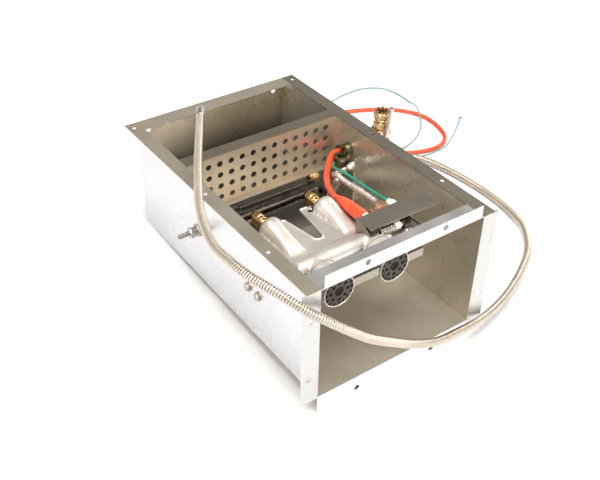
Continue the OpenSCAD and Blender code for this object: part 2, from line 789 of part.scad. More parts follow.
module test_port_nut() {
    color(dark_steel) difference() {
        union() {
            rod_x([-wall_x - 1.5, port_hole[0], port_hole[1]], 1.5, 11.5);
            hex_x([-wall_x - 10, port_hole[0], port_hole[1]], 9, 19);
            rod_x([-wall_x - 14, port_hole[0], port_hole[1]], 5, 7);
            hex_x([-wall_x - 22, port_hole[0], port_hole[1]], 9, 15);
            rod_x([-wall_x - 10, port_hole[0], port_hole[1]], 22, 4.9);
            hex_x([-inner_x, port_hole[0], port_hole[1]], 7, 17);
        }
        rod_x([-wall_x - 42, port_hole[0], port_hole[1]], 80, 3.55);
    }
}

// ---- Cords ----

module hose_coupling() {
    y = hose_hole[0];
    z = hose_hole[1];
    color(brass) difference() {
        union() {
            rod_x([inner_x - 8, y, z], 36, 7.9);
            hex_x([wall_x, y, z], 12, 20);
            hex_x([inner_x - 6, y, z], 6, 20);
            rod_x([wall_x + 12, y, z], 14, 8.5);
        }
        rod_x([inner_x - 9, y, z], 60, 5);
    }
}

module flexible_hose() color(pale_steel) swept(hose_route, hose_r, 8, 1);

// Crimped sleeve on the loose end, in line with the hose's last stretch
module hose_end_sleeve() {
    tip = hose_route[len(hose_route) - 1];
    way = heading(hose_route, len(hose_route) - 1);
    color(pale_steel) translate(tip) rotate([0, acos(way.z), atan2(way.y, way.x)]) {
        cylinder(h = 16, r = 7);
        translate([0, 0, 16]) cylinder(h = 3, r1 = 7, r2 = 5);
    }
}

module spark_lead() color(orange) swept(laid(lead_route), lead_r, 8, 1);

module spark_lead_boot() {
    route = laid(lead_route);
    tip = route[len(route) - 1];
    way = heading(route, len(route) - 1);
    color(orange) translate(tip + [0, 0, 1.5]) rotate([0, 90, atan2(way.y, way.x)]) difference() {
        union() {
            cylinder(h = 30, r = 6);
            translate([0, 0, 26]) cylinder(h = 6, r = 5);
        }
        translate([0, 0, 18]) cylinder(h = 30, r = 3.6);
    }
}

module green_wire() color(green) swept(laid(wire_route), wire_r, 8, 1);

// Crimped spade on the wire's loose end
module wire_terminal() {
    route = laid(wire_route);
    way = heading(route, len(route) - 1);
    color(steel) translate(route[len(route) - 1]) rotate([0, 0, atan2(way.y, way.x)]) {
        rod_x([0, 0, 0], 7, 2.2);
        block([6, -3, -0.4], [17, 3, 0.5]);
    }
}

left_side_panel();
right_side_panel();
floor_panel();
back_panel();
front_crossbar();
perforated_partition();
partition_rivets();
gas_manifold();
manifold_end_cap();
manifold_cradle();
sheet_screws();
gas_orifices();
manifold_elbow();
feed_tube();
feed_tube_nuts();
inlet_elbow();
inlet_nipple();
inlet_locknut();
outer_elbow();
brass_union_body();
brass_union_nut();
burner_upper_shell();
burner_lower_shell();
left_flame_barrel();
right_flame_barrel();
left_flame_disc();
right_flame_disc();
carryover_channels();
burner_support();
support_bolts();
support_nuts();
igniter_bracket();
spark_insulator();
spark_rod();
copper_ferrule();
spark_boot();
inner_spark_lead();
flame_rod_insulator();
flame_rod();
inner_green_wire();
pilot_tube();
pilot_tube_nut();
pilot_wall_union();
pilot_mixer();
pilot_collar();
pilot_hood();
pilot_supply_tube();
wall_angle();
lead_grommet();
wire_grommet();
test_port_tube();
test_port_nut();
hose_coupling();
flexible_hose();
hose_end_sleeve();
spark_lead();
spark_lead_boot();
green_wire();
wire_terminal();
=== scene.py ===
import math

import bmesh
import bpy
from mathutils import Matrix, Vector


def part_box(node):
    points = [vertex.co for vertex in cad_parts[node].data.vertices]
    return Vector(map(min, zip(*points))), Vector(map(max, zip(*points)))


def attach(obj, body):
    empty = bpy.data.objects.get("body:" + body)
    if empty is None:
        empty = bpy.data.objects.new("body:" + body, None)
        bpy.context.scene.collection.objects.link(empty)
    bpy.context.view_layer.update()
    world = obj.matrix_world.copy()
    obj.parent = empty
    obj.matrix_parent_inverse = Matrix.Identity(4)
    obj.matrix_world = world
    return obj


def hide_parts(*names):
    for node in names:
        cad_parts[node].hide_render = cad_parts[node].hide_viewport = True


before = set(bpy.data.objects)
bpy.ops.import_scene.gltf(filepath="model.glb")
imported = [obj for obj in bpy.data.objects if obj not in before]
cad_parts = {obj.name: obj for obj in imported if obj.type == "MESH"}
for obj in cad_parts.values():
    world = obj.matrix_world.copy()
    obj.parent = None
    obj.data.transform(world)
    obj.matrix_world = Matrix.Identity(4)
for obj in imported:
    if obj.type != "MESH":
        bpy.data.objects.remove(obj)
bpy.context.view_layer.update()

MM = 0.001


# ---- Places, read from the frame in millimetres ----


def low(node):
    return Vector(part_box(node)[0]) / MM


def high(node):
    return Vector(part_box(node)[1]) / MM


def middle(node):
    return (low(node) + high(node)) / 2


# ---- Camera, bench and light ----


# Azimuth, elevation and roll in degrees, place in metres, and lens in millimetres
CAMERA_TURN = (-35.67, 37.21, 0.99)
CAMERA_PLACE = (-0.6457, -0.908, 0.9006)
CAMERA_LENS = 53.16


def add_camera():
    """A camera ahead and to the left of the box, looking down into it."""
    azimuth, elevation, roll = (math.radians(a) for a in CAMERA_TURN)
    level = math.cos(elevation)
    back = Vector((math.sin(azimuth) * level, -math.cos(azimuth) * level, math.sin(elevation)))
    right = (-back).cross(Vector((0, 0, 1))).normalized()
    up = right.cross(-back)
    across = math.cos(roll) * right + math.sin(roll) * up
    upright = math.cos(roll) * up - math.sin(roll) * right
    data = bpy.data.cameras.new("camera")
    data.sensor_width = 36
    data.lens = CAMERA_LENS
    camera = bpy.data.objects.new("camera", data)
    turn = Matrix((across, upright, back)).transposed()
    camera.matrix_world = Matrix.Translation(CAMERA_PLACE) @ turn.to_4x4()
    bpy.context.collection.objects.link(camera)
    bpy.context.scene.camera = camera


BENCH_SLOPE = -low("floor_panel").z / (high("floor_panel").y - low("floor_panel").y)


def bench(y):
    """The bench's height under a point: the drop flange in front tips the box back."""
    return low("floor_panel").z + BENCH_SLOPE * (y - low("floor_panel").y)


def add_area(name, place, aim, size, power, tint=(1, 1, 1)):
    data = bpy.data.lights.new(name, "AREA")
    data.shape = "DISK"
    data.size = size
    data.energy = power
    data.color = tint
    light = bpy.data.objects.new(name, data)
    light.location = place
    light.rotation_euler = (Vector(aim) - Vector(place)).to_track_quat("-Z", "Y").to_euler()
    bpy.context.collection.objects.link(light)


def fill_ramp(ramp, stops):
    """Gives a ramp its stops, each a position and a colour or grey level."""
    elements = ramp.color_ramp.elements
    while len(elements) < len(stops):
        elements.new(0.5)
    for element, (position, colour) in zip(elements, stops):
        element.position = position
        element.color = (*colour, 1) if isinstance(colour, tuple) else (colour, colour, colour, 1)


def add_world():
    """Pale near the ground and dark warm overhead, which is what the level flanges mirror."""
    world = bpy.data.worlds.new("studio")
    world.use_nodes = True
    bpy.context.scene.world = world
    nodes, links = world.node_tree.nodes, world.node_tree.links
    nodes.clear()
    where = nodes.new("ShaderNodeTexCoord")
    split = nodes.new("ShaderNodeSeparateXYZ")
    ramp = nodes.new("ShaderNodeValToRGB")
    sky = nodes.new("ShaderNodeBackground")
    out = nodes.new("ShaderNodeOutputWorld")
    links.new(where.outputs["Generated"], split.inputs[0])
    links.new(split.outputs["Z"], ramp.inputs["Fac"])
    links.new(ramp.outputs["Color"], sky.inputs["Color"])
    links.new(sky.outputs[0], out.inputs["Surface"])
    fill_ramp(ramp, [(0.0, (1.0, 0.99, 0.97)), (0.22, (0.84, 0.81, 0.76)), (0.42, (0.29, 0.265, 0.235)),
                     (0.80, (0.18, 0.16, 0.135)), (1.0, (0.27, 0.25, 0.22))])


def add_studio():
    mesh = bpy.data.meshes.new("bench")
    half = 6.0
    corners = [(-half, -half), (half, -half), (half, half), (-half, half)]
    mesh.from_pydata([(x, y, bench(y / MM) * MM) for x, y in corners], [], [(0, 1, 2, 3)])
    floor = bpy.data.objects.new("bench", mesh)
    bpy.context.collection.objects.link(floor)
    material = bpy.data.materials.new("bench_paper")
    material.use_nodes = True
    surface = material.node_tree.nodes["Principled BSDF"]
    surface.inputs["Base Color"].default_value = (0.82, 0.82, 0.82, 1)
    surface.inputs["Roughness"].default_value = 0.9
    mesh.materials.append(material)
    add_world()
    add_area("overhead", (-0.3, -0.5, 2.3), (0, 0, 0), 1.6, 78, (1.0, 0.985, 0.96))
    add_area("side", (-2.2, -0.2, 1.1), (0, 0, 0.1), 1.4, 26)
    add_area("front", (0.5, -2.2, 0.8), (0, 0, 0.1), 1.4, 32)
    add_area("right", (2.3, 0.4, 1.5), (0.1, 0, 0), 1.2, 26)
    bpy.context.scene.view_settings.view_transform = "Standard"


# ---- Materials ----


# The sheet's thickness in millimetres
SHEET = 1.2
# Planes inside the sheet, in metres. A face beside OUTER_X or ahead of OUTER_Y is an outer face of the box,
# and above UNDER_FLANGE it belongs to a top flange
OUTER_X = (high("floor_panel").x + SHEET / 2) * MM
OUTER_Y = (low("floor_panel").y + 0.4) * MM
UNDER_FLANGE = (high("left_side_panel").z - SHEET - 0.3) * MM


class Surface:
    """A node material under construction, with object coordinates in metres."""

    def __init__(self, name, metallic=0.0):
        self.material = bpy.data.materials.new(name)
        self.material.use_nodes = True
        self.nodes = self.material.node_tree.nodes
        self.links = self.material.node_tree.links
        self.shader = self.nodes["Principled BSDF"]
        self.shader.inputs["Metallic"].default_value = metallic
        self.shader.inputs["IOR"].default_value = 1.45
        self.where = self.nodes.new("ShaderNodeTexCoord").outputs["Object"]
        self.bumps = None

    def node(self, kind, **values):
        made = self.nodes.new(kind)
        for key, value in values.items():
            setattr(made, key, value)
        return made

    def scaled(self, scale):
        mapping = self.node("ShaderNodeMapping")
        mapping.inputs["Scale"].default_value = scale
        self.links.new(self.where, mapping.inputs["Vector"])
        return mapping.outputs["Vector"]

    def noise(self, scale, detail=3.0, rough=0.55, stretch=(1, 1, 1)):
        """Noise with so many cells to the metre along each axis."""
        made = self.node("ShaderNodeTexNoise")
        made.inputs["Scale"].default_value = 1.0
        made.inputs["Detail"].default_value = detail
        made.inputs["Roughness"].default_value = rough
        self.links.new(self.scaled([scale * s for s in stretch]), made.inputs["Vector"])
        return made.outputs["Fac"]

    def along(self, axis):
        """The object coordinate along axis 0, 1 or 2."""
        split = self.node("ShaderNodeSeparateXYZ")
        self.links.new(self.where, split.inputs[0])
        return split.outputs[axis]

    def calculated(self, operation, *values):
        """The result of one operation on sockets and numbers."""
        made = self.node("ShaderNodeMath", operation=operation)
        for place, value in zip(made.inputs, values):
            if isinstance(value, float):
                place.default_value = value
            else:
                self.links.new(value, place)
        return made.outputs[0]

    def below_flange(self, other):
        """What another test gives below the top flanges, and 0 above."""
        below = self.calculated("LESS_THAN", self.along(2), UNDER_FLANGE)
        return self.calculated("MULTIPLY", other, below)

    def side_faces(self):
        """1 on the side walls' outer faces; 0 elsewhere."""
        reach = self.calculated("ABSOLUTE", self.along(0))
        return self.below_flange(self.calculated("GREATER_THAN", reach, OUTER_X))

    def front_faces(self):
        """1 on the front flanges' and the drop flange's faces; 0 elsewhere."""
        return self.below_flange(self.calculated("LESS_THAN", self.along(1), OUTER_Y))

    def fade(self, axis, start, end, level):
        """A grey level along one axis, from a low level at the start to 1 at the end."""
        span = self.node("ShaderNodeMapRange")
        span.inputs["From Min"].default_value = start
        span.inputs["From Max"].default_value = end
        self.links.new(self.along(axis), span.inputs["Value"])
        return self.ramp(span.outputs["Result"], [(0.0, level), (1.0, 1.0)])

    def cells(self, scale):
        made = self.node("ShaderNodeTexVoronoi")
        made.inputs["Scale"].default_value = scale
        self.links.new(self.where, made.inputs["Vector"])
        return made.outputs["Color"]

    def ramp(self, value, stops):
        """Colours or grey levels along a value from 0 to 1."""
        made = self.node("ShaderNodeValToRGB")
        fill_ramp(made, stops)
        self.links.new(value, made.inputs["Fac"])
        return made.outputs["Color"]

    def blend(self, fac, a, b, mode="MIX"):
        made = self.node("ShaderNodeMix", data_type="RGBA", blend_type=mode)
        for place, value in ((0, fac), (6, a), (7, b)):
            if isinstance(value, tuple):
                made.inputs[place].default_value = (*value, 1)
            elif isinstance(value, (int, float)):
                made.inputs[place].default_value = value
            else:
                self.links.new(value, made.inputs[place])
        return made.outputs[2]

    def bump(self, value, height, strength=1.0):
        """Adds relief of that height in metres under what is there already."""
        made = self.node("ShaderNodeBump")
        made.inputs["Distance"].default_value = height
        made.inputs["Strength"].default_value = strength
        self.links.new(value, made.inputs["Height"])
        if self.bumps is not None:
            self.links.new(self.bumps, made.inputs["Normal"])
        self.bumps = made.outputs["Normal"]

    def rounded(self, radius):
        made = self.node("ShaderNodeBevel", samples=4)
        made.inputs["Radius"].default_value = radius
        self.bumps = made.outputs["Normal"]

    def done(self, colour=None, rough=None, coat=0.0, sheen=0.0):
        if colour is not None:
            self.links.new(colour, self.shader.inputs["Base Color"])
        if isinstance(rough, (int, float)):
            self.shader.inputs["Roughness"].default_value = rough
        elif rough is not None:
            self.links.new(rough, self.shader.inputs["Roughness"])
        if self.bumps is not None:
            self.links.new(self.bumps, self.shader.inputs["Normal"])
        self.shader.inputs["Coat Weight"].default_value = coat
        self.shader.inputs["Sheen Weight"].default_value = sheen
        return self.material


def sheet_metal(name, light, dark, grain, low_rough=0.24, high_rough=0.34,
                sides=None, front=None, painted_shade=None):
    """Rolled sheet with grain along one axis (0, 1 or 2). Its outer side and front faces can have their own
    tints, which are painted light: lit and shaded copies of the same sheet. The painted shade is an axis,
    where along it the sheet is darkest and where the shade ends, and the tone left where it is darkest."""
    s = Surface(name, metallic=0.85)
    stretch = [1.0, 1.0, 1.0]
    stretch[grain] = 0.02
    fine = s.noise(330, 1.0, 0.5, stretch)
    clouds = s.noise(7, 4.0, 0.55)
    marks = s.noise(22, 3.0, 0.5)
    tint = s.ramp(clouds, [(0.25, dark), (0.75, light)])
    # Painted shade: the tint darkens along one axis
    if painted_shade is not None:
        tint = s.blend(1.0, tint, s.fade(*painted_shade), "MULTIPLY")
    # Painted light: the outer side and front faces get lit or shaded copies of the tint
    if sides is not None:
        tint = s.blend(s.side_faces(), tint, sides)
    if front is not None:
        tint = s.blend(s.front_faces(), tint, front)
    streaks = s.ramp(fine, [(0.25, 0.95), (0.75, 1.0)])
    rough = s.ramp(marks, [(0.30, low_rough), (0.75, high_rough)])
    s.rounded(0.0004)
    s.bump(fine, 0.00002, 0.06)
    s.bump(s.noise(7, 1.0, 0.4), 0.0006, 0.08)
    return s.done(s.blend(1.0, tint, streaks, "MULTIPLY"), rough)


def solid_metal(name, light, dark, low_rough, high_rough, edge=0.0006, scale=60, pits=0.00004):
    """Machined, drawn or cast metal: two tones in blotches, with fine pitting."""
    s = Surface(name, metallic=1.0)
    blotch = s.noise(scale, 5.0, 0.65)
    fine = s.noise(scale * 26, 3.0, 0.6)
    tint = s.ramp(blotch, [(0.32, dark), (0.68, light)])
    rough = s.ramp(s.noise(scale * 3, 4.0, 0.6), [(0.3, low_rough), (0.7, high_rough)])
    s.rounded(edge)
    s.bump(fine, pits, 0.5)
    return s.done(tint, rough)


def aluminised(name, light, dark, low_rough, high_rough):
    """Hot-dipped sheet: pale, with a soft spangle and dull patches."""
    s = Surface(name, metallic=0.85)
    spangle = s.node("ShaderNodeSeparateColor")
    s.links.new(s.cells(500), spangle.inputs[0])
    clouds = s.noise(18, 4.0, 0.5)
    tint = s.ramp(clouds, [(0.28, dark), (0.66, light)])
    flecks = s.ramp(spangle.outputs[0], [(0.0, 0.96), (1.0, 1.0)])
    rough = s.ramp(s.noise(60, 3.0, 0.5), [(0.3, low_rough), (0.7, high_rough)])
    s.bump(s.noise(1400, 2.0), 0.00002, 0.2)
    s.bump(clouds, 0.0004, 0.08)
    return s.done(s.blend(1.0, tint, flecks, "MULTIPLY"), rough)


def plain_body(name, light, dark, low_rough, high_rough, grain, depth, coat=0.0, sheen=0.0):
    """Rubber, plastic or ceramic: mottled colour, uneven gloss and a fine grain."""
    s = Surface(name)
    tint = s.ramp(s.noise(70, 4.0, 0.6), [(0.30, dark), (0.70, light)])
    rough = s.ramp(s.noise(175, 4.0, 0.6), [(0.3, low_rough), (0.7, high_rough)])
    s.bump(s.noise(grain, 3.0, 0.6), depth, 0.5)
    return s.done(tint, rough, coat, sheen)


def make_materials():
    warm, warm_dark, lit_side_tint = (0.68, 0.62, 0.52), (0.61, 0.55, 0.45), (0.66, 0.655, 0.68)
    rim = high("right_side_panel").z * MM - 0.0008
    hem = high("perforated_partition").z * MM - 0.0008
    return {
        # The outer side tint and the darker front tint are painted light: lit and shaded copies of this sheet
        "sheet_y": sheet_metal("sheet_along_y", warm, warm_dark, 1, sides=lit_side_tint, front=(0.54, 0.54, 0.53)),
        # Painted shade on the right wall's top flange
        "right_sheet": sheet_metal("right_sheet", warm, warm_dark, 1, sides=lit_side_tint, front=(0.54, 0.54, 0.53),
                                   painted_shade=(2, rim, rim - 0.0015, 0.5)),
        # A darker copy of the sheet for the igniter bracket and the carry-over channels, which sit in shade:
        # painted shade
        "dim": sheet_metal("dim_sheet", (0.38, 0.34, 0.29), (0.30, 0.27, 0.225), 0),
        # The floor's pale front tint on the drop flange is painted light, and painted shade darkens the floor
        # towards the back, behind the partition
        "floor": sheet_metal("dull_sheet", (0.74, 0.68, 0.58), (0.64, 0.58, 0.49), 1, 0.40, 0.52,
                             front=(0.80, 0.79, 0.80), painted_shade=(1, 0.12, 0.02, 0.25)),
        # Painted shade on the back panel, darker towards the bottom
        "rear": sheet_metal("rear_sheet", warm, warm_dark, 0, painted_shade=(2, 0.10, 0.17, 0.22)),
        # Painted shade along the partition's top
        "tan": sheet_metal("tan_sheet", (0.70, 0.61, 0.48), (0.60, 0.52, 0.40), 0, 0.28, 0.40,
                           painted_shade=(2, hem, hem - 0.002, 0.45)),
        "shaded": sheet_metal("shaded_sheet", (0.30, 0.265, 0.215), (0.23, 0.20, 0.16), 0, 0.30, 0.42),
        "bright": sheet_metal("bright_sheet", (0.66, 0.65, 0.65), (0.59, 0.58, 0.57), 0, 0.25, 0.38),
        "aluminised": aluminised("aluminised_sheet", (0.66, 0.62, 0.57), (0.57, 0.53, 0.485), 0.44, 0.54),
        "disc": aluminised("oxidised_sheet", (0.085, 0.075, 0.062), (0.05, 0.044, 0.036), 0.34, 0.5),
        "dark": solid_metal("black_pipe", (0.12, 0.10, 0.08), (0.06, 0.05, 0.04), 0.2, 0.32, scale=30),
        "steel": solid_metal("plated_steel", (0.74, 0.71, 0.66), (0.60, 0.57, 0.51), 0.22, 0.36, scale=30),
        "olive": solid_metal("olive_chromate", (0.34, 0.31, 0.20), (0.16, 0.15, 0.10), 0.25, 0.42, scale=90),
        "zinc": solid_metal("zinc_plate", (0.50, 0.47, 0.42), (0.34, 0.31, 0.27), 0.24, 0.4, scale=90),
        "hose": solid_metal("stainless_strip", (0.61, 0.545, 0.465), (0.51, 0.455, 0.385), 0.32, 0.44,
                            edge=0.0002, scale=30, pits=0.00001),
        # Painted shade for the hose's groove faces: a dark copy of the strip
        "groove_shade": solid_metal("painted_groove_shade", (0.11, 0.09, 0.07), (0.07, 0.057, 0.045), 0.4, 0.6,
                              edge=0.0002, scale=30, pits=0.00001),
        "brass": solid_metal("brass", (0.84, 0.60, 0.30), (0.60, 0.38, 0.18), 0.2, 0.36, scale=90),
        "dark_brass": solid_metal("dark_brass", (0.34, 0.24, 0.13), (0.18, 0.12, 0.07), 0.3, 0.5),
        "copper": solid_metal("copper", (0.84, 0.52, 0.36), (0.62, 0.35, 0.22), 0.25, 0.42),
        "ceramic": plain_body("ceramic", (0.74, 0.71, 0.66), (0.58, 0.55, 0.50), 0.2, 0.42,
                              1200, 0.00005, coat=0.4),
        "orange": plain_body("orange_silicone", (0.80, 0.085, 0.018), (0.62, 0.05, 0.012), 0.36, 0.55,
                             1500, 0.00006, coat=0.1, sheen=0.1),
        "green": plain_body("green_insulation", (0.012, 0.30, 0.19), (0.006, 0.19, 0.12), 0.3, 0.46,
                            1500, 0.00004, coat=0.2),
        "pale_green": plain_body("pale_green_insulation", (0.20, 0.37, 0.31), (0.14, 0.28, 0.23), 0.3, 0.46,
                                 1500, 0.00004, coat=0.2),
        "black": plain_body("black_rubber", (0.035, 0.034, 0.032), (0.015, 0.015, 0.014), 0.5, 0.75,
                            1300, 0.00008),
    }


# ---- Shapes. Each is a pair: points in millimetres, and faces ----


def joined(*shapes):
    points, faces = [], []
    for more_points, more_faces in shapes:
        start = len(points)
        points += more_points
        faces += [tuple(start + i for i in face) for face in more_faces]
    return points, faces


def across_axis(axis):
    """Two unit vectors square to an axis, the first one level where it can be."""
    axis = Vector(axis).normalized()
    side = axis.cross(Vector((0, 0, 1)))
    side = side.normalized() if side.length > 1e-4 else Vector((1, 0, 0))
    return side, side.cross(axis).normalized()


def flat_radius(angle, across):
    """Distance from the centre of a hexagon to its edge."""
    sixth = math.pi / 3
    return across / 2 / math.cos((angle + sixth / 2) % sixth - sixth / 2)


def turned(place, axis, profile, sides=48, closed=False):
    """A body of revolution. Each profile entry is (radius, along), followed by a hexagon's width across
    flats where there is one."""
    axis = Vector(axis).normalized()
    side, lift = across_axis(axis)
    points, faces = [], []
    for entry in profile:
        radius, along = entry[0], entry[1]
        for k in range(sides):
            angle = 2 * math.pi * k / sides
            reach = min(radius, flat_radius(angle, entry[2])) if len(entry) > 2 else radius
            spoke = math.cos(angle) * side + math.sin(angle) * lift
            points.append(Vector(place) + axis * along + reach * spoke)
    rows = len(profile)
    for i in range(rows if closed else rows - 1):
        j = (i + 1) % rows
        for k in range(sides):
            n = (k + 1) % sides
            faces.append((i * sides + k, i * sides + n, j * sides + n, j * sides + k))
    if not closed:
        faces.append(tuple(range(sides)))
        faces.append(tuple(range((rows - 1) * sides, rows * sides)))
    return points, faces


def hexagon(base, length, across, chamfer=0.9):
    """Profile of a hexagon with its corners turned off at both ends."""
    corner = across / math.sqrt(3)
    start = across / 2 * 0.97
    return [(start, base), (corner, base + chamfer, across), (corner, base + length - chamfer, across),
            (start, base + length)]


CURVE_STEPS = 14


def curve_through(route):
    """A smooth line through a route's points."""
    p = [Vector(q) for q in route]
    line = []
    for i in range(len(p) - 1):
        a, b, c, d = p[max(i - 1, 0)], p[i], p[i + 1], p[min(i + 2, len(p) - 1)]
        for k in range(CURVE_STEPS):
            t = k / CURVE_STEPS
            line.append(0.5 * (2 * b + (c - a) * t + (2 * a - 5 * b + 4 * c - d) * t * t
                               + (3 * b - a - 3 * c + d) * t * t * t))
    return line + [p[-1]]


def line_length(line):
    return sum((b - a).length for a, b in zip(line, line[1:]))


def walked(line, stations):
    """The points at given distances along a line."""
    found, i, passed = [], 0, 0.0
    step = (line[1] - line[0]).length
    for target in stations:
        while passed + step < target and i < len(line) - 2:
            passed += step
            i += 1
            step = (line[i + 1] - line[i]).length
        t = min(1.0, (target - passed) / step) if step else 0.0
        found.append(line[i].lerp(line[i + 1], t))
    return found


def tube(line, stations, radii, sides=16):
    """A closed tube along a line, with a radius at each station. Its rings don't twist."""
    centres = walked(line, stations)
    points, faces, side = [], [], None
    for i, centre in enumerate(centres):
        way = (centres[min(i + 1, len(centres) - 1)] - centres[max(i - 1, 0)]).normalized()
        side = across_axis(way)[0] if side is None else (side - way * side.dot(way)).normalized()
        lift = side.cross(way)
        for k in range(sides):
            angle = 2 * math.pi * k / sides
            points.append(centre + radii[i] * (math.cos(angle) * side + math.sin(angle) * lift))
    for i in range(len(centres) - 1):
        for k in range(sides):
            n = (k + 1) % sides
            faces.append((i * sides + k, i * sides + n, (i + 1) * sides + n, (i + 1) * sides + k))
    faces.append(tuple(range(sides)))
    faces.append(tuple(range(len(points) - sides, len(points))))
    return points, faces


def ribbed_tube(line, radius, pitch, depth, sides=16, plain=0.0):
    """A tube of wound strip: broad bands with a narrow groove between. It lists the groove faces apart, to be
    painted dark as painted shade in the grooves.
    """
    total = line_length(line)
    stations, radii, grooves = [0.0], [radius - depth * 0.3], []
    at = plain
    while at + pitch < total - plain:
        for part, drop in ((0.0, 0.15), (0.08, 0.0), (0.64, 0.0), (0.72, 0.2), (0.76, 1.0), (0.96, 1.0)):
            stations.append(at + part * pitch)
            radii.append(radius - depth * drop)
        first = (len(stations) - 2) * sides
        grooves += range(first, first + sides)
        at += pitch
    points, faces = tube(line, stations + [total], radii + [radius - depth * 0.3], sides)
    return points, faces, grooves


def smooth_tube(line, radius, step=3.0, sides=16):
    total = line_length(line)
    count = max(2, int(total / step))
    return tube(line, [total * i / count for i in range(count + 1)], [radius] * (count + 1), sides)


# ---- Pieces ----


def add_piece(name, shape, material, slot, *nodes, crease=32, grooves=None):
    """Builds an object from a shape, with faces smooth up to a crease angle, and puts it in the nodes' place.
    The faces that a shape lists apart get the grooves' material, a painted shade for the grooves."""
    points, faces, *apart = shape
    mesh = bpy.data.meshes.new(name)
    mesh.from_pydata([Vector(p) * MM for p in points], [], faces)
    bm = bmesh.new()
    bm.from_mesh(mesh)
    bmesh.ops.remove_doubles(bm, verts=bm.verts, dist=1e-6)
    bmesh.ops.recalc_face_normals(bm, faces=bm.faces)
    for face in bm.faces:
        face.smooth = True
    for edge in bm.edges:
        if len(edge.link_faces) == 2 and edge.calc_face_angle(0) > math.radians(crease):
            edge.smooth = False
    bm.to_mesh(mesh)
    bm.free()
    mesh.materials.append(material)
    if grooves is not None:
        mesh.materials.append(grooves)
        for i in apart[0]:
            mesh.polygons[i].material_index = 1
    obj = bpy.data.objects.new(name, mesh)
    bpy.context.collection.objects.link(obj)
    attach(obj, "root")
    if nodes:
        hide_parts(*nodes)
    return obj


HOSE_ROUTE = [
    (166.8, 150, 40), (195, 150, 39), (225, 153, 28), (262, 160, 12), (300, 167, 2), (336, 168, 2),
    (365, 157, 2), (383, 137, 2), (396, 108, 0), (407, 73, -3), (415, 29, -6), (419, -18, -9),
    (415, -68, -10), (396, -122, -7), (353, -173, -5), (300, -208, -3), (248, -233, -3),
    (199, -250, -2), (151, -261, 2), (104, -267, 9), (55, -274, 22), (6, -278, 46), (-41, -282, 78),
    (-84, -285, 110), (-118, -281, 139), (-144, -272, 161), (-165, -258, 177), (-181, -239, 190),
    (-194, -216, 199), (-205, -189, 204), (-210.1, -156, 206), (-210, -115, 204), (-198, -67, 202),
    (-177, -16, 200.5), (-150, 34, 200.5), (-120, 87, 200.5), (-86, 143, 201), (-49, 204, 201),
]
# The leads lie on the bench: (x, y, height above it)
LEAD_ROUTE = [
    (143, 76, 144.4), (170, 77, 143.4), (196, 84, 132), (218, 96, 106), (238, 112, 74), (262, 134, 44),
    (290, 160, 25), (318, 178, 18), (346, 180, 9), (384, 166, 4.5), (413, 156, 4.5), (440, 153, 4.5),
    (466, 160, 4.5), (483, 175, 4.5), (492, 196, 4.5), (497, 225, 4.5), (494, 254, 4.5),
    (483, 276, 4.5), (464, 298, 4.5), (436, 318, 4.5), (402, 335, 4.5), (366, 348, 4.5),
    (334, 352, 4.5), (306, 346, 4.5),
]
WIRE_ROUTE = [
    (143, 64, 127.1), (162, 66, 126), (182, 78, 118), (198, 104, 92), (208, 140, 66), (216, 182, 32),
    (226, 230, 8), (242, 290, 2.5), (268, 346, 2), (312, 382, 2), (366, 399, 2), (422, 408.6, 2),
    (464, 405, 2), (494, 386, 2), (508, 353, 2), (508, 315, 3), (498, 280, 12), (480, 246, 10),
    (460, 222, 3.5), (432, 203, 2), (402, 191, 2), (382, 186, 4), (368, 180, 11), (366, 171, 12.5),
    (374, 162, 9), (388, 153, 2.5), (406, 147, 2), (429, 145.5, 2), (452, 147.5, 2), (474, 155, 2),
    (496, 167, 2), (516, 180, 2), (536, 194, 2), (551, 205, 2),
]
INNER_LEAD_ROUTE = [
    (135.8, 76, 134), (120, 72, 134), (106, 60, 134), (92, 46, 133), (76, 28, 134), (62, 8, 137),
    (50, -12, 141), (41, -30, 146), (33, -48, 153), (27, -64, 160), (23, -78, 166),
]


def laid(route):
    return [(x, y, bench(y) + h) for x, y, h in route]


SLEEVE_PROFILE = [
    (6.2, -9), (6.6, -8.4), (6.9, -7), (6.9, 12), (6.6, 14.5), (6.0, 16.6), (4.6, 18.4), (3.0, 19),
]
LEAD_BOOT_PROFILE = [
    (3.9, -3), (4.6, -2.4), (5.4, 0), (5.7, 2), (5.2, 3), (5.7, 4), (5.2, 5), (5.7, 6), (5.2, 7), (5.9, 8.5),
    (6.0, 22), (5.6, 27), (5.2, 30), (4.9, 32), (3.7, 32), (3.6, 20), (0.6, 19.8),
]
CRIMP_PROFILE = [(1.9, -0.6), (2.2, 0), (2.2, 2.2), (1.9, 2.8), (1.9, 4.4), (2.2, 5), (2.2, 6.6), (1.6, 7.4)]
# The spade's outline: (off its middle, along)
SPADE_OUTLINE = [(-3.0, 6.5), (-3.0, 15.5), (-1.6, 17.0), (1.6, 17.0), (3.0, 15.5), (3.0, 6.5)]


def end_of(line):
    """A line's last point and the way it points there."""
    return line[-1], (line[-1] - line[-4]).normalized()


def add_hose(paint):
    line = curve_through(HOSE_ROUTE)
    tip, way = end_of(line)
    sleeve = add_piece("hose_sleeve", turned(tip, way, SLEEVE_PROFILE), paint["steel"], "bright_steel",
                       "hose_end_sleeve")
    # The groove faces get the painted groove shade
    hose = add_piece("metal_hose", ribbed_tube(line, 6.5, 3.9, 1.0, 20), paint["hose"], "hose_steel",
                     "flexible_hose", crease=60, grooves=paint["groove_shade"])


def add_spark_lead(paint):
    line = curve_through(laid(LEAD_ROUTE))
    tip, way = end_of(line)
    boot = add_piece("lead_boot", turned(tip + Vector((0, 0, 1.5)), way, LEAD_BOOT_PROFILE), paint["orange"],
                     "orange_silicone", "spark_lead_boot")
    lead = add_piece("ignition_lead", smooth_tube(line, 3.75, 3.0, 18), paint["orange"], "orange_silicone",
                     "spark_lead")


